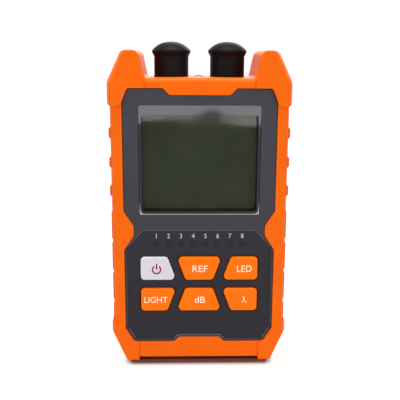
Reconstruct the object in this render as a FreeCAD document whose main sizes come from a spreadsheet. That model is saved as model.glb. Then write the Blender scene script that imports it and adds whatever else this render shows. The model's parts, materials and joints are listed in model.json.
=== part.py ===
import FreeCAD, Part
import math
import os

import Sketcher

# Handheld optical power meter with a visual fault light, a torch and a network wire-map socket.
# Millimetres. +X is to the right as the user faces the screen, the front faces -Y, +Z is up.
# The origin is the middle of the footprint: the case stands on its four corner feet at z = 0,
# and the two case halves part on the plane y = 0, which also holds the axes of the top ports.

doc = FreeCAD.newDocument("optical_power_meter")
vector = FreeCAD.Vector

# ---------------------------------------------------------------------------------------------
# Driving dimensions: (name, value, meaning). Widths build outwards from the screen, heights
# build upwards from the feet, and depths build outwards from the parting plane.
# ---------------------------------------------------------------------------------------------
DRIVING = [
    # across
    ("lens_width", 44.4, "clear screen window"),
    ("panel_border", 5.8, "face panel beyond the window, each side"),
    ("grip_strip", 4.4, "case front beside the face panel, each side"),
    ("side_lean", 1.1, "how far the sides lean in at the front and back"),
    ("shoulder_proud", 0.9, "shoulder bumper beyond the grip floor"),
    ("foot_proud", 0.9, "foot bumper beyond the grip floor"),
    ("foot_inner", 22.9, "inner edge of a foot from the middle"),
    ("foot_toe", 28.5, "outer edge of a foot sole from the middle"),
    ("horn_inner", 19.9, "inner edge of a horn at its root"),
    ("horn_lean", 2.0, "how far the inner edge leans outwards by the tip"),
    ("horn_tip_width", 6.1, "width of a horn at its tip"),
    # up the front
    ("foot_lift", 1.0, "gap under the case between the feet"),
    ("bottom_rim", 6.5, "case front below the face panel"),
    ("keypad_low_margin", 12.75, "face panel below the lower key row"),
    ("key_height", 8.9, "height of a key"),
    ("key_row_gap", 3.4, "gap between the key rows"),
    ("keypad_top_margin", 10.2, "keypad area above the upper key row"),
    ("screen_gap", 5.95, "keypad area to the window"),
    ("lens_height", 40.4, "clear screen window"),
    ("panel_top_margin", 5.95, "face panel above the window"),
    ("top_rim", 3.45, "case front above the face panel"),
    ("top_crown", 0.35, "rise of the top edge in its middle"),
    ("top_crown_radius", 900.0, "rounding of the top edge"),
    ("horn_height", 9.75, "horns above the ends of the top edge"),
    # through the depth, from the parting plane to the front
    ("port_room", 5.4, "parting plane to the back of the main board"),
    ("board_thickness", 1.6, "main board"),
    ("backlight_thickness", 2.1, "light guide behind the display"),
    ("display_thickness", 1.8, "display glass"),
    ("display_overlap", 0.5, "display glass below the window"),
    ("light_inset", 0.6, "light guide inside the outline of the window"),
    ("front_wall", 1.4, "case wall under the face panel"),
    ("panel_thickness", 1.6, "face panel"),
    ("panel_inset", 0.4, "face panel below the grip strips"),
    ("bumper_step", 0.7, "bumpers above the grip strips"),
    ("lean_depth", 3.5, "depth of the leaning edge of the sides"),
    # from the parting plane to the back
    ("bay_front", 0.4, "parting plane to the battery bay"),
    ("bay_floor", 1.0, "floor of the battery bay"),
    ("cell_play", 0.5, "depth of the bay beyond a cell"),
    ("cell_gap_front", 0.1, "cell to the floor of the bay"),
    ("door_thickness", 1.9, "battery door"),
    ("rear_wall", 2.2, "back wall of the rear case"),
    # walls and edges
    ("side_wall", 2.2, "case side walls under the grips"),
    ("end_wall", 2.3, "case top and bottom walls"),
    ("edge_round", 0.6, "rounded front edges of the bumpers"),
    ("strip_round", 0.8, "rounded front edges of the grip strips"),
    ("back_round", 2.4, "rounded back edges"),
    ("top_bar_round", 1.8, "rounded front edge of the top bar"),
    ("panel_play", 0.15, "face panel to its recess"),
    ("shoulder_corner", 4.0, "corner of the shoulder"),
    ("foot_corner", 3.0, "corner at the widest part of a foot"),
    ("toe_corner", 1.5, "corner at the toe of a foot"),
    ("horn_corner", 2.0, "outer corner of a horn tip"),
    ("horn_inner_corner", 2.6, "inner corner of a horn tip"),
    ("horn_wall", 1.9, "walls of a horn"),
    ("horn_cavity_corner", 0.8, "corners of the hollow of a horn"),
    ("root_corner", 1.3, "inside corner at a horn's root"),
    # bumpers and grips
    ("foot_bumper_height", 14.9, "top of a foot bumper"),
    ("foot_corner_height", 11.0, "widest part of a foot above its sole"),
    ("shoulder_below_top", 1.45, "widest part of a shoulder below the ends of the top edge"),
    ("shoulder_drop", 6.75, "bumper below the top of the face panel"),
    ("foot_bumper_fall", 0.8, "fall of a foot bumper's top edge towards the middle"),
    ("shoulder_dip_in", 1.3, "lowest point of a shoulder inside the grip floor"),
    ("shoulder_flare", 3.5, "rise of a shoulder's lower edge outwards, to the outside"),
    ("flare_reach", 5.0, "where that rise ends, beyond the feet"),
    ("shoulder_slope", 2.0, "rise of a shoulder's lower edge inwards, to the waist"),
    ("rib_height", 4.5, "height of a grip rib"),
    ("rib_pitch", 10.7, "pitch of the grip ribs"),
    ("rib_proud", 0.65, "grip ribs above the grip floor"),
    ("rib_flank", 0.8, "slope at the end of a rib"),
    ("rib_from_top", 7.2, "shoulder bumper to the top rib"),
    ("pad_proud", 0.3, "lower grip pads above the grip floor"),
    ("pad_height", 10.9, "height of a grip pad"),
    ("pad_pitch", 12.0, "pitch of the grip pads"),
    ("pad_first", 7.8, "top of the lowest grip pad above the foot bumper"),
    ("pad_flank", 0.5, "slope at the end of a pad"),
    # face panel
    ("panel_chamfer_in", 2.1, "upper corner of the panel, across"),
    ("panel_chamfer_down", 5.1, "upper corner of the panel, down"),
    ("panel_notch_in", 13.2, "half width of the dip in the top edge, outside"),
    ("panel_notch_slope", 2.3, "width of the dip's sloping end"),
    ("panel_notch_drop", 2.45, "depth of the dip in the top edge"),
    ("panel_base_in", 3.3, "lower corner of the panel, across"),
    ("panel_base_up", 5.6, "lower corner of the panel, up"),
    ("panel_rise_half", 7.6, "half width of the rise in the bottom edge"),
    ("panel_rise", 1.8, "height of the rise in the bottom edge"),
    ("panel_rise_slope", 2.1, "width of the rise's sloping end"),
    ("waist_reach", 3.6, "waist lobes into the panel"),
    ("waist_half", 7.4, "half height of a waist lobe at its root"),
    ("waist_flat", 1.8, "half height of a waist lobe at its tip"),
    ("panel_corner", 1.3, "corners of the panel"),
    ("panel_base_corner", 2.2, "lower outer corners of the panel"),
    ("keypad_depth", 0.35, "keypad area below the panel face"),
    ("keypad_margin", 1.0, "panel edge round the keypad area"),
    ("keypad_corner", 0.9, "corners of the rise in the keypad area"),
    ("keypad_shoulder", 7.2, "half width lost by the keypad area at its top"),
    ("keypad_shoulder_drop", 6.6, "height of the sloping shoulder of the keypad area"),
    ("lens_ledge", 0.7, "panel ledge that carries the window, at the sides"),
    ("lens_ledge_low", 0.6, "ledge at the bottom"),
    ("lens_ledge_top", 3.5, "ledge at the top"),
    ("lens_thickness", 0.8, "window"),
    ("lens_inset", 0.2, "window below the panel face"),
    ("lens_play", 0.12, "window to its seat"),
    ("lens_corner", 0.7, "corners of the window"),
    ("display_corner", 1.1, "corners of the display opening"),
    # keys
    ("key_outer", 22.0, "outer edge of the outer keys from the middle"),
    ("key_long_inner", 8.7, "inner edge of an outer key at its longer side"),
    ("key_short_inner", 12.0, "inner edge of an outer key at its shorter side"),
    ("key_middle_long", 8.4, "half width of a middle key at its longer side"),
    ("key_middle_short", 5.2, "half width of a middle key at its shorter side"),
    ("key_corner", 1.5, "corners of a key"),
    ("key_proud", 1.1, "key above the keypad area"),
    ("key_edge", 0.45, "rounded edge of a key's face"),
    ("key_play", 0.4, "gap round a key"),
    ("key_lip", 0.7, "retaining lip behind the case wall"),
    ("key_lip_thickness", 0.8, "retaining lip"),
    ("key_travel", 0.6, "how far a key goes in"),
    ("key_overtravel", 0.1, "gap left behind a pressed key"),
    ("mat_thickness", 1.0, "web of the rubber key mat"),
    ("mat_button_width", 6.0, "raised button of the key mat"),
    ("mat_button_height", 5.0, "raised button of the key mat"),
    ("mat_border", 2.4, "key mat beyond the keys"),
    ("mat_side_border", 1.4, "key mat beyond the outer keys"),
    ("mat_button_corner", 1.0, "corners of a raised button"),
    # wire-map indicators
    ("lamp_pitch", 4.58, "pitch of the indicators"),
    ("lamp_drop", 5.35, "indicators below the top of the keypad area"),
    ("lamp_window", 1.8, "diameter of an indicator's window"),
    ("lamp_base", 2.6, "width of an indicator's base"),
    ("lamp_base_thickness", 1.5, "indicator's base"),
    ("lamp_play", 0.1, "indicator to its hole, on the radius"),
    ("lamp_sink", 0.05, "indicator below the keypad area"),
    # ports, torch and dust caps
    ("port_x", 10.4, "port axes from the middle"),
    ("port_radius", 4.0, "threaded barrel"),
    ("port_flange_radius", 5.2, "flange held by the case"),
    ("port_flange_height", 2.6, "flange"),
    ("port_body_radius", 4.2, "body below the flange"),
    ("port_body_height", 6.4, "body below the flange"),
    ("port_height", 10.2, "barrel above the flange"),
    ("port_mouth_radius", 3.05, "mouth of the barrel"),
    ("port_mouth_depth", 4.5, "mouth of the barrel"),
    ("port_key_width", 2.1, "keyway in the barrel"),
    ("port_key_depth", 2.2, "keyway in the barrel"),
    ("ferrule_radius", 1.26, "bore for a 2.5 mm ferrule"),
    ("ferrule_chamfer", 0.3, "lead-in of the ferrule bore"),
    ("sleeve_wall", 0.45, "ceramic sleeve"),
    ("sleeve_length", 8.0, "ceramic sleeve"),
    ("sleeve_slit", 0.5, "slit of the ceramic sleeve"),
    ("sleeve_play", 0.02, "ceramic sleeve to its bore, on the radius"),
    ("sleeve_relief", 0.3, "wider end of the sleeve's bore, on the radius"),
    ("sleeve_relief_height", 0.4, "wider end of the sleeve's bore"),
    ("port_play", 0.1, "port to the case, on the radius"),
    ("detector_radius", 2.35, "photodiode can"),
    ("detector_height", 3.4, "photodiode can"),
    ("detector_rim", 0.35, "rim of the photodiode can"),
    ("laser_radius", 4.0, "laser module"),
    ("laser_length", 12.0, "laser module"),
    ("laser_corner", 0.4, "lower edge of the laser module"),
    ("laser_window_depth", 1.5, "window of the laser module"),
    ("shelf_thickness", 1.2, "shelf under the port flanges"),
    ("shelf_play", 0.1, "shelf to the port flanges"),
    ("shelf_beyond", 1.0, "shelf beyond the port flanges"),
    ("torch_radius", 2.5, "torch lamp"),
    ("torch_rim", 0.4, "rim of the torch lamp"),
    ("torch_rim_height", 1.0, "rim of the torch lamp"),
    ("torch_height", 3.4, "torch lamp above its rim"),
    ("torch_dome", 2.4, "rounding of the torch lamp's dome"),
    ("cap_radius", 6.35, "dust cap"),
    ("cap_bead_radius", 7.35, "bead round the top of a dust cap, before it is rounded"),
    ("cap_bead_drop", 3.4, "bead below the top of the cap"),
    ("cap_bead_under", 1.9, "sloping underside of the bead"),
    ("cap_bead_round", 0.9, "rounding of the bead"),
    ("cap_neck_round", 0.8, "rounding between the bead and the skirt"),
    ("cap_dome_start", 4.3, "where the slope of the dome would meet its top"),
    ("cap_dome_radius", 8.6, "rounding of the dome"),
    ("cap_height", 13.2, "dust cap"),
    ("cap_play", 0.08, "dust cap to the barrel, on the radius"),
    ("cap_roof_play", 0.3, "dust cap above the end of the barrel"),
    ("cap_lift", 0.1, "dust cap above its seat"),
    ("cap_seat_depth", 0.45, "round seat of a dust cap in the top of the case"),
    ("cap_seat_play", 0.3, "dust cap to the side of its seat"),
    # network socket
    ("socket_width", 15.8, "network socket"),
    ("socket_depth", 13.2, "network socket, from the board backwards"),
    ("socket_length", 17.5, "network socket"),
    ("socket_recess", 0.4, "socket mouth behind the bottom of the case"),
    ("socket_play", 0.2, "socket to the case"),
    ("socket_corner", 0.3, "corners of the socket"),
    ("socket_mouth_width", 11.8, "plug opening"),
    ("socket_mouth_height", 6.8, "plug opening"),
    ("socket_mouth_length", 13.0, "plug opening"),
    ("socket_floor", 2.2, "socket between the board and the plug opening"),
    ("socket_latch_width", 6.2, "room for the plug's latch"),
    ("socket_latch_height", 2.2, "room for the plug's latch"),
    ("socket_pin_pitch", 1.02, "contacts"),
    ("socket_pin_width", 0.45, "contacts"),
    ("socket_pin_thickness", 0.4, "contacts"),
    ("socket_pin_length", 9.0, "contacts"),
    ("socket_pin_heel", 2.0, "straight root of a contact"),
    ("socket_pin_rise", 1.3, "contacts above the floor of the plug opening"),
    # battery bay
    ("cell_radius", 5.25, "AAA cell"),
    ("cell_length", 43.7, "AAA cell without its button"),
    ("cell_shoulder", 0.8, "rounded shoulder of a cell"),
    ("cell_button_radius", 1.9, "positive button"),
    ("cell_button_height", 0.8, "positive button"),
    ("cell_pitch", 11.4, "cells side by side"),
    ("cell_gap", 0.55, "cell to the side of the bay"),
    ("spring_length", 4.4, "battery spring, pressed"),
    ("spring_width", 5.0, "battery spring"),
    ("contact_width", 7.0, "contact plate"),
    ("contact_thickness", 0.4, "contact plate"),
    ("contact_corner", 0.6, "corners of a contact plate"),
    ("contact_pip", 0.5, "raised spot of a positive contact"),
    ("bay_wall", 1.2, "side walls of the bay"),
    ("bay_above_socket", 5.6, "bay above the network socket"),
    ("bay_rib", 0.7, "ribs between the cells"),
    ("bay_rib_height", 3.0, "ribs between the cells"),
    ("bay_rib_length", 30.0, "ribs between the cells"),
    ("door_border", 1.4, "door beyond the bay"),
    ("door_play", 0.25, "gap round the door"),
    ("door_corner", 2.0, "corners of the door"),
    ("door_grip_pitch", 2.0, "finger ribs on the door"),
    ("door_grip_depth", 0.4, "finger ribs on the door"),
    ("door_grip_drop", 5.0, "finger ribs below the top of the door"),
    ("toe_width", 5.0, "toe of the door"),
    ("toe_thickness", 1.0, "toe of the door"),
    ("toe_reach", 1.5, "toe below the door"),
    ("toe_gap", 0.5, "toe below the inner face of the door"),
    ("toe_offset", 5.7, "toes from the middle"),
    ("toe_root", 1.5, "toes above the bottom of the bay"),
    ("toe_room", 0.6, "toe to its slot"),
    ("thumb_width", 12.0, "thumb scoop above the door"),
    ("thumb_height", 5.0, "thumb scoop above the door"),
    ("thumb_depth", 1.0, "thumb scoop above the door"),
    # fastening
    ("boss_from_side", 5.2, "case screws from the grip floor"),
    ("boss_low", 12.6, "lower case screws above the floor"),
    ("boss_from_panel_top", 2.7, "upper case screws below the top of the panel"),
    ("boss_front_radius", 2.7, "screw boss of the front case"),
    ("boss_rear_radius", 3.7, "screw boss of the rear case"),
    ("screw_radius", 1.2, "case screw"),
    ("screw_length", 9.0, "case screw below its head"),
    ("screw_head_radius", 2.3, "case screw head"),
    ("screw_head_height", 1.7, "case screw head"),
    ("screw_seat", 5.0, "seat of the case screw head behind the parting plane"),
    ("screw_play", 0.1, "case screw to its holes, on the radius"),
    ("well_play", 0.3, "case screw head to its well, on the radius"),
    ("pilot_floor", 0.3, "case left under a board screw's hole"),
    ("screw_slot_width", 0.7, "cross recess"),
    ("screw_slot_share", 0.6, "reach of the cross recess as a share of the head"),
    ("screw_slot_depth", 0.8, "cross recess"),
    ("board_screw_x", 20.8, "board screws from the middle"),
    ("board_screw_low", 2.5, "lower board screws above the bottom of the panel"),
    ("board_screw_drop", 6.4, "upper board screws below the window"),
    ("board_screw_radius", 0.8, "board screw"),
    ("board_screw_length", 4.2, "board screw below its head"),
    ("board_screw_head_radius", 1.7, "board screw head"),
    ("board_screw_head_height", 1.1, "board screw head"),
    ("board_post_radius", 1.9, "board post of the front case"),
    ("board_edge", 0.9, "board to the screw bosses"),
    ("board_low", 6.0, "bottom of the board above the floor"),
    ("board_corner", 1.0, "corners of the board"),
    ("board_top_gap", 2.4, "top of the board below the port flanges"),
]

# How many there are of what repeats
RIBS, PADS = 3, 4
INDICATORS = 8
SOCKET_PINS = 8
DOOR_GRIPS = 4

sheet = doc.addObject("Spreadsheet::Sheet", "Sizes")
for row, (name, value, meaning) in enumerate(DRIVING, start=1):
    sheet.set("A%d" % row, name)
    sheet.set("B%d" % row, str(value))
    sheet.setAlias("B%d" % row, name)
    sheet.set("C%d" % row, meaning)
doc.recompute()


class Size:
    """A length that carries its value and the spreadsheet formula that gives it."""

    def __init__(self, value, formula):
        self.value = float(value)
        self.formula = formula

    def __add__(self, other):
        other = size(other)
        return Size(self.value + other.value, "(%s + %s)" % (self.formula, other.formula))

    def __sub__(self, other):
        other = size(other)
        return Size(self.value - other.value, "(%s - %s)" % (self.formula, other.formula))

    def __mul__(self, other):
        other = size(other)
        return Size(self.value * other.value, "(%s * %s)" % (self.formula, other.formula))

    def __truediv__(self, other):
        other = size(other)
        return Size(self.value / other.value, "(%s / %s)" % (self.formula, other.formula))

    def __neg__(self):
        return Size(-self.value, "(0 - %s)" % self.formula)

    __radd__ = __add__
    __rmul__ = __mul__

    def __rsub__(self, other):
        return size(other) - self


def size(number):
    """The number as a Size, if it isn't one already."""
    return number if isinstance(number, Size) else Size(number, repr(float(number)))


def smaller(a, b):
    """The lesser of two lengths."""
    a, b = size(a), size(b)
    return Size(min(a.value, b.value), "min(%s; %s)" % (a.formula, b.formula))


def larger(a, b):
    """The greater of two lengths."""
    a, b = size(a), size(b)
    return Size(max(a.value, b.value), "max(%s; %s)" % (a.formula, b.formula))


def cell(name):
    return Size(sheet.get(name), "Sizes." + name)


class Sizes:
    """Every driving dimension as an attribute."""


s = Sizes()
for name, _, _ in DRIVING:
    setattr(s, name, cell(name))

# ---------------------------------------------------------------------------------------------
# Derived places
# ---------------------------------------------------------------------------------------------
NOTHING = size(0)

# across, from the middle
panel_half = s.lens_width / 2 + s.panel_border
case_half = panel_half + s.grip_strip
foot_half = case_half + s.foot_proud
shoulder_half = case_half + s.shoulder_proud
inside_half = case_half - s.side_wall
outside = foot_half + s.flare_reach
shoulder_dip = case_half - s.shoulder_dip_in
horn_outer = s.horn_inner + s.horn_lean + s.horn_tip_width

# up the front
panel_bottom = s.foot_lift + s.bottom_rim
lower_row = panel_bottom + s.keypad_low_margin
upper_row = lower_row + s.key_height + s.key_row_gap
keypad_top = upper_row + s.key_height + s.keypad_top_margin
lens_bottom = keypad_top + s.screen_gap
lens_top = lens_bottom + s.lens_height
panel_top = lens_top + s.panel_top_margin
body_top = panel_top + s.top_rim
crown_top = body_top + s.top_crown
horn_top = body_top + s.horn_height
port_seat = body_top - s.end_wall
inside_bottom = s.foot_lift + s.end_wall
shoulder_bottom = panel_top - s.shoulder_drop
lamp_height = keypad_top - s.lamp_drop
cap_seat = body_top - s.cap_seat_depth

# through the depth: y grows towards the back
board_back = -s.port_room
board_front = board_back - s.board_thickness
display_back = board_front - s.backlight_thickness
wall_back = display_back - s.display_thickness
wall_front = wall_back - s.front_wall
panel_face = wall_front - s.panel_thickness
keypad_face = panel_face + s.keypad_depth
strip_face = panel_face - s.panel_inset
bumper_face = strip_face - s.bumper_step
key_face = keypad_face - s.key_proud
lens_face = panel_face + s.lens_inset
lens_back = lens_face + s.lens_thickness
bay_back = s.bay_front + s.bay_floor
cell_axis = bay_back + s.cell_radius + s.cell_gap_front
door_inside = bay_back + s.cell_radius * 2 + s.cell_play
strip_back = door_inside + s.door_thickness
bumper_back = strip_back + s.bumper_step
rear_inside = strip_back - s.rear_wall

# battery bay
bay_half = s.cell_pitch + s.cell_radius + s.cell_gap
socket_top = s.foot_lift + s.socket_recess + s.socket_length
bay_bottom = socket_top + s.bay_above_socket
bay_length = s.contact_thickness * 2 + s.contact_pip + s.spring_length + s.cell_length + s.cell_button_height
bay_top = bay_bottom + bay_length
door_half = bay_half + s.door_border
door_bottom = bay_bottom - s.door_border
door_top = bay_top + s.door_border

# screws
boss_x = case_half - s.boss_from_side
boss_top = panel_top - s.boss_from_panel_top
board_half = boss_x - s.boss_rear_radius
board_top = port_seat - s.port_flange_height - s.board_top_gap
board_screw_low = panel_bottom + s.board_screw_low
board_screw_high = lens_bottom - s.board_screw_drop


# ---------------------------------------------------------------------------------------------
# Drawing helpers
# ---------------------------------------------------------------------------------------------
PLANE = {"x": "YZ_Plane", "y": "XZ_Plane", "z": "XY_Plane"}
NORMAL = {"x": 1, "y": -1, "z": 1}
ROOT_POINT = (-1, 1)
CLEAR = 1.0  # how far a cut runs past the face that it opens
bodies = {}


def bind(obj, prop, value):
    """Ties a property to the spreadsheet."""
    obj.setExpression(prop, size(value).formula)


def origin_feature(body, role):
    return next(f for f in body.Origin.OriginFeatures if f.Role == role)


def new_body(name, solids=1):
    body = doc.addObject("PartDesign::Body", name)
    body.Label = name
    body.AllowCompound = solids > 1
    bodies[name] = (body, solids)
    return body


def place(body, x=0, y=0, z=0, turn=None):
    """Puts a body at a place given by the spreadsheet, turned by (axis, degrees)."""
    if turn:
        body.Placement = FreeCAD.Placement(vector(), FreeCAD.Rotation(vector(*turn[0]), turn[1]))
    for prop, value in zip("xyz", (x, y, z)):
        bind(body, "Placement.Base." + prop, value)


def new_sketch(body, name, axis, at):
    """A sketch square to an axis. Its coordinates are (y, z), (x, z) or (x, y) of the body."""
    sketch = body.newObject("Sketcher::SketchObject", name)
    sketch.AttachmentSupport = [(origin_feature(body, PLANE[axis]), "")]
    sketch.MapMode = "FlatFace"
    bind(sketch, "AttachmentOffset.Base.z", size(at) * NORMAL[axis])
    return sketch


def constrain(sketch, plain, driven):
    """Adds plain constraints, then constraints whose values come from the spreadsheet."""
    sketch.addConstraint(plain)
    for constraint, value in driven:
        index = sketch.addConstraint(constraint)
        name = "size_%d" % index
        sketch.renameConstraint(index, name)
        sketch.setExpression("Constraints." + name, value.formula)


def at_point(geometry, end, a, b):
    """Constraints that put a point at (a, b)."""
    return [
        (Sketcher.Constraint("DistanceX", *ROOT_POINT, geometry, end, a.value), a),
        (Sketcher.Constraint("DistanceY", *ROOT_POINT, geometry, end, b.value), b),
    ]


def draw_loop(sketch, corners):
    """A closed outline of straight sides through (a, b) or (a, b, radius) corners."""
    corners = [tuple(size(v) for v in (*c, 0)[:3]) for c in corners]
    points = [vector(a.value, b.value, 0) for a, b, _ in corners]
    count = len(corners)
    starts, ends, arcs = [], [], {}
    for i, (_, _, radius) in enumerate(corners):
        inward = (points[i] - points[i - 1]).normalize()
        onward = (points[(i + 1) % count] - points[i]).normalize()
        turn = inward.getAngle(onward)
        reach = radius.value * math.tan(turn / 2)
        first, last = points[i] - inward * reach, points[i] + onward * reach
        if radius.value > 0:
            bisector = (onward - inward).normalize()
            centre = points[i] + bisector * (radius.value / math.cos(turn / 2))
            left = inward.cross(onward).z > 0
            low, high = (first, last) if left else (last, first)
            angles = [math.atan2(p.y - centre.y, p.x - centre.x) for p in (low, high)]
            if angles[1] < angles[0]:
                angles[1] += 2 * math.pi
            circle = Part.Circle(centre, vector(0, 0, 1), radius.value)
            arc = sketch.addGeometry(Part.ArcOfCircle(circle, *angles), False)
            corner_point = sketch.addGeometry(Part.Point(points[i]), True)
            arcs[i] = (arc, corner_point, 1 if left else 2, 2 if left else 1)
        starts.append(last)
        ends.append(first)
    lines = [
        sketch.addGeometry(Part.LineSegment(starts[i], ends[(i + 1) % count]), False)
        for i in range(count)
    ]
    plain, driven = [], []
    for i, (a, b, radius) in enumerate(corners):
        before, after = lines[i - 1], lines[i]
        if i in arcs:
            arc, corner_point, arc_in, arc_out = arcs[i]
            plain.append(Sketcher.Constraint("Tangent", before, 2, arc, arc_in))
            plain.append(Sketcher.Constraint("Tangent", arc, arc_out, after, 1))
            plain.append(Sketcher.Constraint("PointOnObject", corner_point, 1, before))
            plain.append(Sketcher.Constraint("PointOnObject", corner_point, 1, after))
            driven.append((Sketcher.Constraint("Radius", arc, radius.value), radius))
            driven.extend(at_point(corner_point, 1, a, b))
        else:
            plain.append(Sketcher.Constraint("Coincident", before, 2, after, 1))
            driven.extend(at_point(after, 1, a, b))
    constrain(sketch, plain, driven)


def draw_circle(sketch, a, b, radius):
    a, b, radius = size(a), size(b), size(radius)
    circle = sketch.addGeometry(
        Part.Circle(vector(a.value, b.value, 0), vector(0, 0, 1), radius.value), False
    )
    driven = [(Sketcher.Constraint("Radius", circle, radius.value), radius)]
    constrain(sketch, [], driven + at_point(circle, 3, a, b))


def box_loop(left, right, low, high, radius=0):
    return [(left, low, radius), (right, low, radius), (right, high, radius), (left, high, radius)]


def left_of(loop):
    """The mirror image of a loop on the other side of the middle."""
    return [(-size(c[0]), *c[1:]) for c in reversed(loop)]


def both_halves(right_half):
    """A symmetric loop from its right half, listed from the bottom to the top."""
    middle = [c for c in right_half if size(c[0]).value == 0]
    sides = [c for c in right_half if size(c[0]).value != 0]
    if middle:
        return sides + middle + left_of(sides)
    return sides + left_of(sides)


def extrude(body, kind, name, axis, start, stop, loops=(), circles=(), taper=None):
    """A Pad or a Pocket between two heights along an axis."""
    start, stop = size(start), size(stop)
    sketch = new_sketch(body, name + "_sketch", axis, start)
    for loop in loops:
        draw_loop(sketch, loop)
    for circle in circles:
        draw_circle(sketch, *circle)
    feature = body.newObject(kind, name)
    feature.Profile = sketch
    forward = stop.value > start.value
    bind(feature, "Length", stop - start if forward else start - stop)
    along_normal = forward == (NORMAL[axis] > 0)
    feature.Reversed = along_normal if kind == "PartDesign::Pocket" else not along_normal
    if taper:
        bind(feature, "TaperAngle", taper)
    return feature


def pad(body, name, axis, start, stop, **outline):
    return extrude(body, "PartDesign::Pad", name, axis, start, stop, **outline)


def pocket(body, name, axis, start, stop, **outline):
    return extrude(body, "PartDesign::Pocket", name, axis, start, stop, **outline)


def revolve(body, name, profile, kind="PartDesign::Revolution"):
    """Turns an (r, z) profile about the body's own Z axis."""
    sketch = new_sketch(body, name + "_sketch", "y", 0)
    draw_loop(sketch, profile)
    feature = body.newObject(kind, name)
    feature.Profile = sketch
    feature.ReferenceAxis = (sketch, ["V_Axis"])
    feature.Angle = 360
    return feature


def edges_where(feature, test):
    """Names of the edges whose two ends and middle all pass a test of a point."""
    names = []
    for index, edge in enumerate(feature.Shape.Edges, start=1):
        low, high = edge.ParameterRange
        points = [edge.valueAt(low + (high - low) * share) for share in (0, 0.5, 1)]
        if all(test(p) for p in points):
            names.append("Edge%d" % index)
    return names


def fillet(body, name, radius, test):
    """Rounds the edges of the body's present tip that pass a test."""
    doc.recompute()
    base = body.Tip
    names = edges_where(base, test)
    if not names:
        raise RuntimeError("no edges found for " + name)
    feature = body.newObject("PartDesign::Fillet", name)
    feature.Base = (base, names)
    bind(feature, "Radius", radius)
    return feature


def bevel(body, name, width, test):
    """Chamfers the edges of the body's present tip that pass a test."""
    doc.recompute()
    base = body.Tip
    feature = body.newObject("PartDesign::Chamfer", name)
    feature.Base = (base, edges_where(base, test))
    bind(feature, "Size", width)
    return feature


def lean(body, name, across, deep, test):
    """Chamfers edges by more along the depth than across it."""
    feature = bevel(body, name, deep, test)
    feature.ChamferType = "Two distances"
    bind(feature, "Size2", across)
    return feature


def repeat(body, name, originals, role, length, count):
    """A linear pattern along one of the body's axes."""
    pattern = body.newObject("PartDesign::LinearPattern", name)
    pattern.Originals = originals
    pattern.Direction = (origin_feature(body, role), [""])
    bind(pattern, "Length", length)
    pattern.Occurrences = count
    body.Tip = pattern
    return pattern


def near(a, b, tolerance=0.01):
    return abs(a - size(b).value) < tolerance


# ---------------------------------------------------------------------------------------------
# Case outlines, shared by both halves
# ---------------------------------------------------------------------------------------------
def silhouette():
    """Front view of the case: feet, straight sides, shoulders and horns."""
    tip_inner = s.horn_inner + s.horn_lean
    return both_halves([
        (s.foot_inner, s.foot_lift),
        (s.foot_inner, 0),
        (s.foot_toe, 0),
        (foot_half, s.foot_corner_height, s.foot_corner),
        (shoulder_half, body_top - s.shoulder_below_top, s.shoulder_corner),
        (horn_outer, horn_top),
        (tip_inner, horn_top, s.horn_inner_corner),
        (s.horn_inner, body_top, s.root_corner),
        (0, crown_top, s.top_crown_radius),
    ])


def shoulder_height(across):
    """Height of a shoulder's lower edge, outside its lowest point."""
    return shoulder_bottom + s.shoulder_flare * (across - shoulder_dip) / (outside - shoulder_dip)


def side_relief():
    """Region beside the case between a foot bumper and a shoulder bumper."""
    return [(case_half, s.foot_bumper_height), (outside, s.foot_bumper_height),
            (outside, shoulder_height(outside)), (case_half, shoulder_height(case_half))]


def strip_relief():
    """Region of the front that lies below the bumpers, beside the face panel."""
    inner = panel_half - s.waist_reach - CLEAR
    foot_top = s.foot_bumper_height
    return [(inner, foot_top - s.foot_bumper_fall), (shoulder_dip, foot_top), (outside, foot_top),
            (outside, shoulder_height(outside)), (shoulder_dip, shoulder_bottom),
            (inner, shoulder_bottom + s.shoulder_slope)]


def panel_outline(play):
    """The face panel's outline, taken in by a clearance."""
    edge = panel_half - play
    low, high = panel_bottom + play, panel_top - play
    lobe = keypad_top
    corner = s.panel_corner
    return both_halves([
        (s.panel_rise_half, low + s.panel_rise, corner),
        (s.panel_rise_half + s.panel_rise_slope, low, corner),
        (edge - s.panel_base_in, low, s.panel_base_corner),
        (edge, low + s.panel_base_up, s.panel_base_corner),
        (edge, lobe - s.waist_half, corner),
        (edge - s.waist_reach, lobe - s.waist_flat, corner),
        (edge - s.waist_reach, lobe + s.waist_flat, corner),
        (edge, lobe + s.waist_half, corner),
        (edge, high - s.panel_chamfer_down, corner),
        (edge - s.panel_chamfer_in, high, corner),
        (s.panel_notch_in, high, corner),
        (s.panel_notch_in - s.panel_notch_slope, high - s.panel_notch_drop, corner),
    ])


def keypad_outline():
    """The sunk keypad area of the face panel. Its slanted sides shift by a third of its margin."""
    edge = panel_half - s.keypad_margin
    low = panel_bottom + s.keypad_margin
    slant = s.keypad_margin / 3
    corner = s.keypad_corner
    return both_halves([
        (s.panel_rise_half + slant, low + s.panel_rise, corner),
        (s.panel_rise_half + s.panel_rise_slope + slant, low, corner),
        (edge - s.panel_base_in + slant, low, s.panel_corner),
        (edge, low + s.panel_base_up - slant, s.panel_base_corner),
        (edge, keypad_top - s.keypad_shoulder_drop, s.panel_corner),
        (panel_half - s.keypad_shoulder, keypad_top, s.panel_corner),
    ])


def cavity():
    """Inside of the case, with its horns."""
    tip_inner = s.horn_inner + s.horn_lean + s.horn_wall
    tip_outer = horn_outer - s.horn_wall
    corner = s.root_corner
    return both_halves([
        (s.foot_toe - s.side_wall / 2, inside_bottom, corner),
        (inside_half, s.foot_corner_height, corner),
        (inside_half, body_top - s.shoulder_below_top - s.side_wall / 2, corner),
        (tip_outer, horn_top - s.end_wall, s.horn_cavity_corner),
        (tip_inner, horn_top - s.end_wall, s.horn_cavity_corner),
        (s.horn_inner + s.end_wall, port_seat, corner),
    ])


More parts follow.
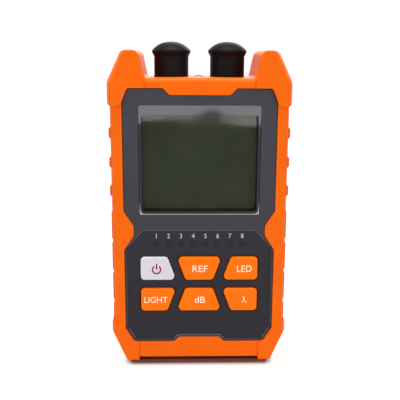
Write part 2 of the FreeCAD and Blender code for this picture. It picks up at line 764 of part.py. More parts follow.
def port_centres():
    return [(-s.port_x, 0), (s.port_x, 0)]


def boss_centres():
    return [(side * boss_x, height) for side in (-1, 1) for height in (size(s.boss_low), boss_top)]


def grips(body, outer_y):
    """Raised ribs and pads on both sides of a case half."""
    ribs_top = shoulder_bottom - s.rib_from_top
    pads_top = s.foot_bumper_height + s.pad_first + s.pad_pitch * (PADS - 1)
    grip_row(body, "rib", outer_y, ribs_top, s.rib_height, s.rib_proud, s.rib_flank, s.rib_pitch, RIBS)
    grip_row(body, "pad", outer_y, pads_top, s.pad_height, s.pad_proud, s.pad_flank, s.pad_pitch, PADS)


def grip_row(body, name, outer_y, top, height, proud, flank, pitch, count):
    """A row of raised grips, listed from the top down."""
    root, floor, tip, low = case_half - s.side_wall / 2, case_half, case_half + proud, top - height
    loop = [(root, low), (floor, low), (tip, low + flank), (tip, top - flank), (floor, top), (root, top)]
    first = pad(body, name, "y", 0, outer_y, loops=[loop, left_of(loop)])
    row = repeat(body, name + "_row", [first], "Z_Axis", pitch * (count - 1), count)
    row.Reversed = True


# ---------------------------------------------------------------------------------------------
# Front case: moulded orange half with the screen and key openings
# ---------------------------------------------------------------------------------------------
def build_case_half(body, bumper_y, strip_y):
    """The solid form of a case half, from the parting plane to its front or back."""
    pad(body, "silhouette", "y", 0, bumper_y, loops=[silhouette()])
    lean(body, "bumper_lean", s.side_lean, s.lean_depth, on_outer_edge(bumper_y))
    fillet(body, "toe_round", s.toe_corner, on_corner_line(s.foot_toe, NOTHING))
    fillet(body, "tip_round", s.horn_corner, on_corner_line(horn_outer, horn_top))
    beyond = bumper_y * 1.2
    relief = side_relief()
    pocket(body, "side_relief", "y", 0, beyond, loops=[relief, left_of(relief)])
    strips = strip_relief()
    top_bar = box_loop(-s.horn_inner, s.horn_inner, panel_top - s.top_rim, horn_top)
    bottom_bar = box_loop(-s.foot_inner, s.foot_inner, -s.foot_lift, panel_bottom + s.bottom_rim / 2)
    pocket(body, "face_relief", "y", strip_y, beyond, loops=[strips, left_of(strips)])
    pocket(body, "bar_relief", "y", strip_y, beyond, loops=[top_bar, bottom_bar])
    share = (s.lean_depth - s.bumper_step) / s.lean_depth
    lean(body, "strip_lean", s.side_lean * share, s.lean_depth * share, on_strip_edge(strip_y))


def on_outer_edge(bumper_y):
    """The outer sides of the feet, the case and the horns, from the soles to the tips."""
    least = s.horn_inner.value + s.horn_tip_width.value
    return lambda p: near(p.y, bumper_y) and abs(p.x) > least and 0 <= p.z <= horn_top.value


def on_corner_line(across, height):
    """A corner of the outline that runs from front to back and leans in with the sides."""
    least = (across - s.side_lean * 1.5).value
    return lambda p: near(p.z, height) and abs(p.x) > least


def on_strip_edge(strip_y):
    """The long edges of the grip strips, from the foot bumpers to the shoulder bumpers."""
    least = (case_half - s.side_lean).value
    low, high = s.foot_bumper_height.value - 1, shoulder_bottom.value + 1
    return lambda p: near(p.y, strip_y) and abs(p.x) > least and low < p.z < high


def on_top_bar_edge(strip_y):
    reach, low = s.horn_inner.value + 0.1, body_top.value - 0.01
    return lambda p: near(p.y, strip_y) and p.z > low and abs(p.x) < reach


def on_bottom_bar_edge(strip_y):
    reach = s.foot_inner.value + 0.1
    return lambda p: near(p.y, strip_y) and near(p.z, s.foot_lift) and abs(p.x) < reach


def on_foot_edge(bumper_y):
    """The sole and the outer side of a foot, not the edges of its step."""
    inner, toe = s.foot_inner.value - 0.01, (s.foot_toe - s.side_lean).value - 1
    top = s.foot_bumper_height.value - 0.1

    def test(p):
        across = abs(p.x)
        return near(p.y, bumper_y) and p.z < top and (across > toe or (p.z < 0.01 and across > inner))
    return test


def on_shoulder_edge(bumper_y):
    """The outer side of a shoulder and all round its horn, not the edges of its step."""
    side = (shoulder_half - s.side_lean).value - 0.6

    def test(p):
        beside = abs(p.x) > side and p.z > shoulder_bottom.value
        return near(p.y, bumper_y) and (beside or p.z > body_top.value - 0.01)
    return test


def case_rounds(body, bumper_y, strip_y, strip_round, bar_round):
    """Rounds the long edges of a case half."""
    fillet(body, "strip_round", strip_round, on_strip_edge(strip_y))
    fillet(body, "bottom_bar_round", strip_round, on_bottom_bar_edge(strip_y))
    fillet(body, "top_bar_round", bar_round, on_top_bar_edge(strip_y))
    fillet(body, "shoulder_round", smaller(s.edge_round, s.shoulder_proud), on_shoulder_edge(bumper_y))
    fillet(body, "foot_round", smaller(s.edge_round, s.foot_proud), on_foot_edge(bumper_y))


def case_openings(body):
    """Openings that the two case halves share: ports, torch and network socket."""
    pocket(body, "cap_seats", "z", cap_seat, crown_top + CLEAR,
           circles=[(*centre, s.cap_radius + s.cap_seat_play) for centre in port_centres()])
    pocket(body, "port_holes", "z", port_seat - s.end_wall, crown_top + CLEAR,
           circles=[(*centre, s.port_radius + s.port_play) for centre in port_centres()])
    pocket(body, "torch_hole", "z", port_seat - s.end_wall, crown_top + CLEAR,
           circles=[(0, 0, s.torch_radius + s.port_play)])
    half = s.socket_width / 2 + s.socket_play
    pocket(body, "socket_hole", "z", inside_bottom + CLEAR, -CLEAR,
           loops=[box_loop(-half, half, board_back, board_back + s.socket_depth + s.socket_play)])


def key_outlines():
    """The six keys: name, lower edge, and corners listed from the lower left."""
    low, high = lower_row, upper_row
    outer, long_in, short_in = s.key_outer, s.key_long_inner, s.key_short_inner
    long_mid, short_mid = s.key_middle_long, s.key_middle_short
    return [
        ("key_power", high, (-outer, -long_in, -short_in, -outer)),
        ("key_reference", high, (-short_mid, short_mid, long_mid, -long_mid)),
        ("key_torch", high, (long_in, outer, outer, short_in)),
        ("key_light", low, (-outer, -short_in, -long_in, -outer)),
        ("key_unit", low, (-long_mid, long_mid, short_mid, -short_mid)),
        ("key_wavelength", low, (short_in, outer, outer, long_in)),
    ]


def key_loop(bottom, across, grow, corner):
    """A key's four-sided outline, grown all round."""
    lower_left, lower_right, upper_right, upper_left = (size(v) for v in across)
    low, high = bottom - grow, bottom + s.key_height + grow
    return [
        (lower_left - grow, low, corner),
        (lower_right + grow, low, corner),
        (upper_right + grow, high, corner),
        (upper_left - grow, high, corner),
    ]


def key_holes(grow):
    return [key_loop(low, across, grow, s.key_corner + grow / 2) for _, low, across in key_outlines()]


def lamp_centres():
    return [((index - (INDICATORS - 1) / 2) * s.lamp_pitch, lamp_height) for index in range(INDICATORS)]


def display_opening():
    return box_loop(-(s.lens_width / 2 - s.lens_ledge), s.lens_width / 2 - s.lens_ledge,
                    lens_bottom + s.lens_ledge_low, lens_top - s.lens_ledge_top, s.display_corner)


def build_front_case():
    body = new_body("front_case")
    build_case_half(body, bumper_face, strip_face)
    case_rounds(body, bumper_face, strip_face, s.strip_round, s.top_bar_round)
    grips(body, bumper_face + s.lean_depth)
    pocket(body, "cavity", "y", 0, wall_back, loops=[cavity()])
    pocket(body, "panel_recess", "y", wall_front, bumper_face - CLEAR, loops=[panel_outline(NOTHING)])
    pocket(body, "display_opening", "y", wall_back + CLEAR, bumper_face, loops=[display_opening()])
    pocket(body, "key_openings", "y", wall_back + CLEAR, bumper_face, loops=key_holes(s.key_play))
    pocket(body, "lamp_holes", "y", wall_back + CLEAR, bumper_face,
           circles=[(x, z, s.lamp_window / 2 + s.lamp_play) for x, z in lamp_centres()])
    pad(body, "screw_bosses", "y", 0, wall_back,
        circles=[(x, z, s.boss_front_radius) for x, z in boss_centres()])
    pad(body, "board_posts", "y", board_front, wall_back,
        circles=[(x, z, s.board_post_radius) for x, z in board_screw_centres()])
    port_shelf(body, 0, wall_back)
    pocket(body, "screw_pilots", "y", 0, s.screw_seat - s.screw_length - CLEAR,
           circles=[(x, z, s.screw_radius + s.screw_play) for x, z in boss_centres()])
    pocket(body, "board_pilots", "y", board_front, wall_back + s.pilot_floor,
           circles=[(x, z, s.board_screw_radius + s.screw_play) for x, z in board_screw_centres()])
    case_openings(body)


def port_shelf(body, inner_y, outer_y):
    """A shelf under the port flanges, notched for the port bodies."""
    top = port_seat - s.port_flange_height - s.shelf_play
    half = s.port_x + s.port_flange_radius + s.shelf_beyond
    pad(body, "port_shelf", "z", top - s.shelf_thickness, top,
        loops=[box_loop(-half, half, smaller(inner_y, outer_y), larger(inner_y, outer_y))])
    pocket(body, "port_shelf_notches", "z", top - s.shelf_thickness - CLEAR, top + CLEAR,
           circles=[(*centre, s.port_body_radius + s.port_play) for centre in port_centres()])


def board_screw_centres():
    return [(side * s.board_screw_x, height)
            for side in (-1, 1) for height in (board_screw_low, board_screw_high)]


# ---------------------------------------------------------------------------------------------
# Rear case: battery bay, door recess and screw wells
# ---------------------------------------------------------------------------------------------
def build_rear_case():
    body = new_body("rear_case")
    build_case_half(body, bumper_back, strip_back)
    case_rounds(body, bumper_back, strip_back, s.back_round, s.back_round)
    grips(body, bumper_back - s.lean_depth)
    pocket(body, "cavity", "y", 0, rear_inside, loops=[cavity()])
    wall_half = bay_half + s.bay_wall
    pad(body, "bay_walls", "y", s.bay_front, door_inside,
        loops=[box_loop(-wall_half, wall_half, bay_bottom - s.bay_wall, bay_top + s.bay_wall)])
    pad(body, "screw_bosses", "y", 0, rear_inside,
        circles=[(x, z, s.boss_rear_radius) for x, z in boss_centres()])
    port_shelf(body, 0, rear_inside)
    pocket(body, "door_recess", "y", door_inside, bumper_back + CLEAR,
           loops=[box_loop(-door_half, door_half, door_bottom, door_top, s.door_corner)])
    pocket(body, "battery_bay", "y", bay_back, bumper_back,
           loops=[box_loop(-bay_half, bay_half, bay_bottom, bay_top)])
    toe_slots(body)
    cell_ribs(body)
    pocket(body, "screw_wells", "y", s.screw_seat, bumper_back + CLEAR,
           circles=[(x, z, s.screw_head_radius + s.well_play) for x, z in boss_centres()])
    pocket(body, "screw_holes", "y", s.screw_seat + CLEAR, -CLEAR,
           circles=[(x, z, s.screw_radius + s.screw_play) for x, z in boss_centres()])
    thumb_scoop(body)
    case_openings(body)


def toe_slots(body):
    """Two notches in the lower wall of the bay for the toes of the door."""
    half = s.toe_width / 2 + s.toe_room
    shallow = door_inside - s.toe_thickness - s.toe_room * 2
    slot = [box_loop(side * s.toe_offset - half, side * s.toe_offset + half, door_bottom, bay_bottom + 1)
            for side in (-1, 1)]
    pocket(body, "toe_slots", "y", shallow, door_inside + CLEAR, loops=slot)


def cell_ribs(body):
    """Low ribs that keep the cells apart."""
    middle = (bay_bottom + bay_top) / 2
    ribs = [box_loop(side * s.cell_pitch / 2 - s.bay_rib / 2, side * s.cell_pitch / 2 + s.bay_rib / 2,
                     middle - s.bay_rib_length / 2, middle + s.bay_rib_length / 2)
            for side in (-1, 1)]
    pad(body, "cell_ribs", "y", bay_back, bay_back + s.bay_rib_height, loops=ribs)


def thumb_scoop(body):
    """Shallow hollow above the door for a thumb."""
    half = s.thumb_width / 2
    pocket(body, "thumb_scoop", "y", strip_back - s.thumb_depth, bumper_back + CLEAR,
           loops=[box_loop(-half, half, door_top - CLEAR, door_top + s.thumb_height, s.door_corner)])


# ---------------------------------------------------------------------------------------------
# Face panel, window and display
# ---------------------------------------------------------------------------------------------
def build_face_panel():
    body = new_body("face_panel")
    pad(body, "plate", "y", wall_front, panel_face, loops=[panel_outline(s.panel_play)])
    pocket(body, "keypad_area", "y", keypad_face, panel_face - CLEAR, loops=[keypad_outline()])
    pocket(body, "window_seat", "y", lens_back, panel_face - CLEAR, loops=[box_loop(
        -s.lens_width / 2, s.lens_width / 2, lens_bottom, lens_top, s.lens_corner)])
    pocket(body, "display_opening", "y", wall_front + CLEAR, panel_face - CLEAR, loops=[display_opening()])
    pocket(body, "key_openings", "y", wall_front + CLEAR, panel_face - CLEAR, loops=key_holes(s.key_play))
    pocket(body, "lamp_holes", "y", wall_front + CLEAR, panel_face - CLEAR,
           circles=[(x, z, s.lamp_window / 2 + s.lamp_play) for x, z in lamp_centres()])


def build_window():
    body = new_body("lcd_window")
    half = s.lens_width / 2 - s.lens_play
    pad(body, "plate", "y", lens_back, lens_face, loops=[box_loop(
        -half, half, lens_bottom + s.lens_play, lens_top - s.lens_play, s.lens_corner)])


def build_display():
    half = s.lens_width / 2
    glass = new_body("lcd_glass")
    pad(glass, "glass", "y", display_back, wall_back,
        loops=[box_loop(-half, half, lens_bottom - s.display_overlap, lens_top)])
    light = new_body("lcd_backlight")
    pad(light, "light_guide", "y", board_front, display_back,
        loops=[box_loop(s.light_inset - half, half - s.light_inset,
                        lens_bottom + s.light_inset, lens_top - s.light_inset)])


# ---------------------------------------------------------------------------------------------
# Keys and their rubber mat
# ---------------------------------------------------------------------------------------------
def build_keys():
    for name, low, across in key_outlines():
        body = new_body(name)
        pad(body, "cap", "y", wall_back, key_face, loops=[key_loop(low, across, NOTHING, s.key_corner)])
        fillet(body, "cap_round", s.key_edge, lambda p: near(p.y, key_face))
        lip = s.key_play + s.key_lip
        pad(body, "lip", "y", wall_back, wall_back + s.key_lip_thickness,
            loops=[key_loop(low, across, lip, s.key_corner)])


def key_middle(across):
    return (size(across[0]) + across[1] + across[2] + across[3]) / 4


def build_key_mat():
    body = new_body("keypad_mat")
    half = s.key_outer + s.mat_side_border
    pad(body, "web", "y", board_front, board_front - s.mat_thickness, loops=[box_loop(
        -half, half, lower_row - s.mat_border, upper_row + s.key_height + s.mat_border, s.key_corner)])
    top = wall_back + s.key_lip_thickness + s.key_travel + s.key_overtravel
    buttons = []
    for _, low, across in key_outlines():
        middle, height = key_middle(across), low + s.key_height / 2
        wide, high = s.mat_button_width / 2, s.mat_button_height / 2
        buttons.append(box_loop(middle - wide, middle + wide, height - high, height + high,
                                s.mat_button_corner))
    pad(body, "buttons", "y", board_front - s.mat_thickness, top, loops=buttons)


# ---------------------------------------------------------------------------------------------
# Main board with its indicators
# ---------------------------------------------------------------------------------------------
def build_board():
    body = new_body("main_board")
    pad(body, "plate", "y", board_back, board_front,
        loops=[box_loop(-board_half + s.board_edge, board_half - s.board_edge,
                        s.board_low, board_top, s.board_corner)])
    pocket(body, "screw_holes", "y", board_back, board_front - CLEAR,
           circles=[(x, z, s.board_screw_radius + s.screw_play) for x, z in board_screw_centres()])


def build_indicators():
    for index, (x, z) in enumerate(lamp_centres(), start=1):
        body = new_body("indicator_lamp_%d" % index)
        half = s.lamp_base / 2
        pad(body, "base", "y", board_front, board_front - s.lamp_base_thickness,
            loops=[box_loop(-half, half, -half, half)])
        pad(body, "window", "y", board_front - s.lamp_base_thickness, keypad_face + s.lamp_sink,
            circles=[(0, 0, s.lamp_window / 2)])
        place(body, x, 0, z)


# ---------------------------------------------------------------------------------------------
# Optical ports, detector, laser and torch
# ---------------------------------------------------------------------------------------------
def build_port(name, socket_radius, socket_height, bore_radius):
    """A threaded barrel with a flange; the socket below holds the detector or meets the laser."""
    body = new_body(name)
    flange_low = -s.port_flange_height
    body_low = flange_low - s.port_body_height
    mouth_floor = s.port_height - s.port_mouth_depth
    lead = s.ferrule_chamfer
    revolve(body, "turned_body", [
        (socket_radius, body_low),
        (s.port_body_radius, body_low),
        (s.port_body_radius, flange_low),
        (s.port_flange_radius, flange_low),
        (s.port_flange_radius, 0),
        (s.port_radius, 0),
        (s.port_radius, s.port_height - lead),
        (s.port_radius - lead, s.port_height),
        (s.port_mouth_radius, s.port_height),
        (s.port_mouth_radius, mouth_floor),
        (bore_radius + lead, mouth_floor),
        (bore_radius, mouth_floor - lead),
        (bore_radius, body_low + socket_height),
        (socket_radius, body_low + socket_height),
    ])
    half = s.port_key_width / 2
    pocket(body, "keyway", "y", -s.port_mouth_radius + CLEAR, -s.port_radius - CLEAR, loops=[box_loop(
        -half, half, s.port_height - s.port_key_depth, s.port_height + CLEAR)])
    return body


def build_ports():
    detector_room = s.detector_radius + s.port_play
    detector_port = build_port("detector_port", detector_room, s.detector_height, s.ferrule_radius)
    place(detector_port, -s.port_x, 0, port_seat)
    sleeve_radius = s.ferrule_radius + s.sleeve_wall
    laser_port = build_port("laser_port", sleeve_radius + s.sleeve_relief,
                            s.sleeve_relief_height, sleeve_radius + s.sleeve_play)
    place(laser_port, s.port_x, 0, port_seat)

    body_low = port_seat - s.port_flange_height - s.port_body_height
    detector = new_body("photodiode")
    rim = s.detector_rim
    revolve(detector, "can", [
        (0, 0), (s.detector_radius, 0), (s.detector_radius, rim), (s.detector_radius - rim, rim),
        (s.detector_radius - rim, s.detector_height), (0, s.detector_height),
    ])
    place(detector, -s.port_x, 0, body_low)

    sleeve = new_body("ferrule_sleeve")
    revolve(sleeve, "tube", [
        (s.ferrule_radius, 0), (sleeve_radius, 0),
        (sleeve_radius, s.sleeve_length), (s.ferrule_radius, s.sleeve_length),
    ])
    pocket(sleeve, "slit", "z", -CLEAR, s.sleeve_length + CLEAR,
           loops=[box_loop(-s.sleeve_slit / 2, s.sleeve_slit / 2, NOTHING, sleeve_radius + CLEAR)])
    top = port_seat + s.port_height - s.port_mouth_depth - s.ferrule_chamfer
    place(sleeve, s.port_x, 0, top - s.sleeve_length)

    laser = new_body("laser_module")
    window = s.ferrule_radius
    revolve(laser, "barrel", [
        (0, -s.laser_length), (s.laser_radius, -s.laser_length, s.laser_corner), (s.laser_radius, 0),
        (window, 0), (window, -s.laser_window_depth), (0, -s.laser_window_depth),
    ])
    place(laser, s.port_x, 0, body_low)


def build_torch():
    body = new_body("torch_lamp")
    rim = s.torch_radius + s.torch_rim
    revolve(body, "dome", [
        (0, -s.torch_rim_height), (rim, -s.torch_rim_height), (rim, 0), (s.torch_radius, 0),
        (s.torch_radius, s.torch_height, s.torch_dome), (0, s.torch_height),
    ])
    place(body, 0, 0, port_seat)


def build_dust_caps():
    foot = cap_seat + s.cap_lift
    roof = port_seat + s.port_height + s.cap_roof_play - foot
    bore = s.port_radius + s.cap_play
    bead = s.cap_height - s.cap_bead_drop
    for name, x in (("detector_cap", -s.port_x), ("laser_cap", s.port_x)):
        body = new_body(name)
        revolve(body, "moulding", [
            (bore, 0), (s.cap_radius, 0),
            (s.cap_radius, bead - s.cap_bead_under, s.cap_neck_round),
            (s.cap_bead_radius, bead, s.cap_bead_round),
            (s.cap_dome_start, s.cap_height, s.cap_dome_radius), (0, s.cap_height),
            (0, roof), (bore, roof),
        ])
        place(body, x, 0, foot)


# ---------------------------------------------------------------------------------------------
# Network socket
# ---------------------------------------------------------------------------------------------
def build_socket():
    body = new_body("network_socket")
    mouth_z = s.foot_lift + s.socket_recess
    half = s.socket_width / 2
    mouth_front = board_back + s.socket_floor
    mouth_back = mouth_front + s.socket_mouth_height
    mouth_half, latch_half = s.socket_mouth_width / 2, s.socket_latch_width / 2
    pad(body, "housing", "z", mouth_z, mouth_z + s.socket_length,
        loops=[box_loop(-half, half, board_back, board_back + s.socket_depth, s.socket_corner)])
    pocket(body, "plug_opening", "z", mouth_z + s.socket_mouth_length, mouth_z - CLEAR, loops=[[
        (-mouth_half, mouth_front), (mouth_half, mouth_front), (mouth_half, mouth_back),
        (latch_half, mouth_back), (latch_half, mouth_back + s.socket_latch_height),
        (-latch_half, mouth_back + s.socket_latch_height), (-latch_half, mouth_back),
        (-mouth_half, mouth_back)]])

    contacts = new_body("socket_contacts", solids=SOCKET_PINS)
    root = mouth_z + s.socket_mouth_length
    tip = root - s.socket_pin_length
    low, thick = mouth_front, s.socket_pin_thickness
    first = (s.socket_pin_pitch * (1 - SOCKET_PINS) - s.socket_pin_width) / 2
    wire = pad(contacts, "wire", "x", first, first + s.socket_pin_width, loops=[[
        (low, root), (low, root - s.socket_pin_heel), (low + s.socket_pin_rise, tip),
        (low + s.socket_pin_rise + thick, tip), (low + thick, root - s.socket_pin_heel),
        (low + thick, root)]])
    repeat(contacts, "wires", [wire], "X_Axis", s.socket_pin_pitch * (SOCKET_PINS - 1), SOCKET_PINS)


# ---------------------------------------------------------------------------------------------
# Battery bay contents and door
# ---------------------------------------------------------------------------------------------
def build_cells():
    """Three cells in a row, the middle one the other way up, each between its two contacts."""
    upside_down = ((1, 0, 0), 180)
    for index, across in enumerate((-1, 0, 1), start=1):
        x = s.cell_pitch * across
        cell_turn, far_turn = (upside_down, None) if across == 0 else (None, upside_down)
        near_end, far_end = (bay_top, bay_bottom) if across == 0 else (bay_bottom, bay_top)
        stand_off = s.contact_thickness + s.spring_length
        battery = new_body("battery_cell_%d" % index)
        revolve(battery, "can", [
            (0, 0), (s.cell_radius, 0), (s.cell_radius, s.cell_length, s.cell_shoulder),
            (s.cell_button_radius, s.cell_length),
            (s.cell_button_radius, s.cell_length + s.cell_button_height),
            (0, s.cell_length + s.cell_button_height),
        ])
        place(battery, x, cell_axis, near_end - stand_off if across == 0 else near_end + stand_off,
              cell_turn)
        build_leaf_spring(index, x, near_end, cell_turn)
        build_plate_contact(index, x, far_end, far_turn)


def build_leaf_spring(index, x, z, turn):
    """A bent strip that presses on the flat end of a cell."""
    body = new_body("battery_spring_%d" % index)
    half, thick = s.contact_width / 2, s.contact_thickness
    crest, crest_half = thick + s.spring_length, thick * 2
    tail, tail_height = half * 0.7, crest * 0.3
    pad(body, "strip", "x", -s.spring_width / 2, s.spring_width / 2, loops=[[
        (-half, 0), (half, 0), (half, thick), (thick - half, thick), (thick - half, thick * 1.6),
        (thick / 2 - crest_half, crest - thick), (crest_half - thick / 2, crest - thick),
        (tail, tail_height), (tail + thick, tail_height + thick / 2),
        (crest_half, crest), (-crest_half, crest), (-half, thick * 2)]])
    place(body, x, cell_axis, z, turn)


def build_plate_contact(index, x, z, turn):
    """A flat plate with a raised spot for the button of a cell."""
    body = new_body("battery_contact_%d" % index)
    half = s.contact_width / 2
    pad(body, "plate", "z", 0, s.contact_thickness, loops=[box_loop(
        -half, half, -half, half, s.contact_corner)])
    pad(body, "pip", "z", s.contact_thickness, s.contact_thickness + s.contact_pip,
        circles=[(0, 0, s.cell_button_radius)])
    place(body, x, cell_axis, z, turn)


def build_door():
    body = new_body("battery_door")
    half = door_half - s.door_play
    low, high = door_bottom + s.door_play, door_top - s.door_play
    pad(body, "plate", "y", door_inside, strip_back,
        loops=[box_loop(-half, half, low, high, s.door_corner)])
    top, depth = high - s.door_grip_drop, s.door_grip_depth
    grooves = [box_loop(-s.thumb_width / 2, s.thumb_width / 2, top - s.door_grip_pitch * k,
                        top - s.door_grip_pitch * k + s.door_grip_pitch / 2) for k in range(DOOR_GRIPS)]
    pocket(body, "finger_grooves", "y", strip_back - depth, strip_back + CLEAR, loops=grooves)
    inner = door_inside - s.toe_gap
    feet = [box_loop(side * s.toe_offset - s.toe_width / 2, side * s.toe_offset + s.toe_width / 2,
                     low, bay_bottom + s.toe_root) for side in (-1, 1)]
    toes = [box_loop(side * s.toe_offset - s.toe_width / 2, side * s.toe_offset + s.toe_width / 2,
                     door_bottom - s.toe_reach, bay_bottom + s.toe_root) for side in (-1, 1)]
    pad(body, "toe_necks", "y", door_inside, inner, loops=feet)
    pad(body, "toes", "y", inner, inner - s.toe_thickness, loops=toes)


# ---------------------------------------------------------------------------------------------
# Screws, driven from the back
# ---------------------------------------------------------------------------------------------
def build_screws(name, centres, seat, head, head_height, shank, length):
    body = new_body(name, solids=4)
    top = seat + head_height
    pad(body, "heads", "y", seat, top, circles=[(x, z, head) for x, z in centres])
    bevel(body, "head_bevel", head_height / 3, lambda p: near(p.y, top))
    pad(body, "shanks", "y", seat, seat - length, circles=[(x, z, shank) for x, z in centres])
    wide, half = s.screw_slot_width / 2, head * s.screw_slot_share
    cross = []
    for x, z in centres:
        x, z = size(x), size(z)
        cross.append([
            (x - half, z - wide), (x - wide, z - wide), (x - wide, z - half), (x + wide, z - half),
            (x + wide, z - wide), (x + half, z - wide), (x + half, z + wide), (x + wide, z + wide),
            (x + wide, z + half), (x - wide, z + half), (x - wide, z + wide), (x - half, z + wide)])
    pocket(body, "cross_recess", "y", top - s.screw_slot_depth, top + CLEAR, loops=cross)


build_front_case()
build_rear_case()
build_face_panel()
build_window()
build_display()
build_keys()
build_key_mat()
build_board()
build_indicators()
build_ports()
build_torch()
build_dust_caps()
build_socket()
build_cells()
build_door()
build_screws("case_screws", boss_centres(), s.screw_seat, s.screw_head_radius,
             s.screw_head_height, s.screw_radius, s.screw_length)
build_screws("board_screws", board_screw_centres(), board_back, s.board_screw_head_radius,
             s.board_screw_head_height, s.board_screw_radius, s.board_screw_length)

# ---------------------------------------------------------------------------------------------
# Checks, then one STEP file for each piece
# ---------------------------------------------------------------------------------------------
doc.recompute()

ADDS = ("PartDesign::Pad", "PartDesign::Revolution")
CUTS = ("PartDesign::Pocket",)


def check_features(body):
    """Every pad has to add material and every pocket has to remove some."""
    volume = 0.0
    for feature in body.Group:
        if feature.TypeId.startswith("PartDesign::") and hasattr(feature, "Shape"):
            now = feature.Shape.Volume
            if feature.TypeId in ADDS and now <= volume + 1e-6:
                raise RuntimeError("%s adds nothing in %s" % (feature.Name, body.Label))
            if feature.TypeId in CUTS and now >= volume - 1e-6:
                raise RuntimeError("%s cuts nothing in %s" % (feature.Name, body.Label))
            volume = now


for obj in doc.Objects:
    if "Invalid" in obj.State or "Error" in obj.State:
        raise RuntimeError("%s failed: %s" % (obj.Name, obj.State))
for body, solids in bodies.values():
    check_features(body)
    shape = body.Shape
    if shape.isNull() or not shape.isValid() or len(shape.Solids) != solids:
        raise RuntimeError("%s has a wrong shape" % body.Label)

os.makedirs("parts", exist_ok=True)
for body, _ in bodies.values():
    body.Shape.exportStep("parts/%s.step" % body.Label)
print("%d pieces" % len(bodies))
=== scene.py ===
import json
import math

import bmesh
import bpy
from mathutils import Matrix, Vector


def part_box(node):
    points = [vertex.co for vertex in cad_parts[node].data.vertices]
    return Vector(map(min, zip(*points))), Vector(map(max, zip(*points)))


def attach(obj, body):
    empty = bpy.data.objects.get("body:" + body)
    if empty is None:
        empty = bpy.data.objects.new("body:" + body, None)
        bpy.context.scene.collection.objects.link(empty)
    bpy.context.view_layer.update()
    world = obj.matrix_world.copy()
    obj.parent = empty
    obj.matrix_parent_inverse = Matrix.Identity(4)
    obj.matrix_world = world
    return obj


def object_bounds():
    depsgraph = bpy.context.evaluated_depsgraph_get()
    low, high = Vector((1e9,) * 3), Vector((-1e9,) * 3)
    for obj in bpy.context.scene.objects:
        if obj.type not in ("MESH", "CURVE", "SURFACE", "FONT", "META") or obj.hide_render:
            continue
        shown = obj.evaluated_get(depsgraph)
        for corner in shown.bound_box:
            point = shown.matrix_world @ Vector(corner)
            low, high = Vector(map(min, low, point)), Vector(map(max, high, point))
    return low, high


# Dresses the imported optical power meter. Everything is in metres, in the part's own frame: the meter
# stands on its feet at z = 0, its screen faces -Y, and +X is to the right as the user faces the screen.

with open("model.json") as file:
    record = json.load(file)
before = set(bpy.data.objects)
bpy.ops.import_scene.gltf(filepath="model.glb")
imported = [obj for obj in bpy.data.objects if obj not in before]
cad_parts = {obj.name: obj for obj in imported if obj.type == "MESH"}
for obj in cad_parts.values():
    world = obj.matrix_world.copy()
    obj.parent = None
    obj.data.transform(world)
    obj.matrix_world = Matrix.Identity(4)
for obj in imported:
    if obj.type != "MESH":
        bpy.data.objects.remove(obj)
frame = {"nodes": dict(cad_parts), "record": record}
cad_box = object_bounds()

MM = 0.001
PICTURE_WIDTH = 400  # pixels


def srgb(red, green, blue):
    """A colour of 0 to 255 a channel as the linear colour that the shaders take."""
    return tuple(
        c / 255 / 12.92 if c / 255 <= 0.04045 else ((c / 255 + 0.055) / 1.055) ** 2.4
        for c in (red, green, blue)
    )


def shade(colour, factor):
    return tuple(c * factor for c in colour)


def middle_of(low, high):
    """The middle of a box given by two of its opposite corners."""
    return [(a + b) / 2 for a, b in zip(low, high)]


# ---------------------------------------------------------------------------------------------
# Node helpers
# ---------------------------------------------------------------------------------------------
class Tree:
    """A node tree with short calls for the nodes that every material here is made of."""

    def __init__(self, tree):
        self.nodes, self.links = tree.nodes, tree.links

    def give(self, socket, value):
        """Sets an input to a number or colour, or links it to a socket."""
        if isinstance(value, bpy.types.NodeSocket):
            self.links.new(value, socket)
        else:
            socket.default_value = value

    def node(self, kind, **values):
        """A node with its named inputs set; an underscore stands for a space in the name."""
        made = self.nodes.new("ShaderNode" + kind)
        for key, value in values.items():
            self.give(made.inputs[key.replace("_", " ")], value)
        return made

    def maths(self, operation, *values):
        """The result of one Math node; each value is a number or a socket."""
        made = self.nodes.new("ShaderNodeMath")
        made.operation = operation
        for socket, value in zip(made.inputs, values):
            self.give(socket, value)
        return made.outputs[0]

    def rise(self, value, start, end, top=1.0):
        """0 up to the start, then in a straight line to the top value at the end."""
        made = self.node("MapRange", Value=value, From_Min=start, From_Max=end, To_Max=top)
        return made.outputs["Result"]

    def seen(self):
        """1 for rays from the camera and for those seen in gloss or through glass, else 0."""
        path = self.node("LightPath").outputs
        gloss = self.maths("MAXIMUM", path["Is Glossy Ray"], path["Is Transmission Ray"])
        return self.maths("MAXIMUM", path["Is Camera Ray"], gloss)


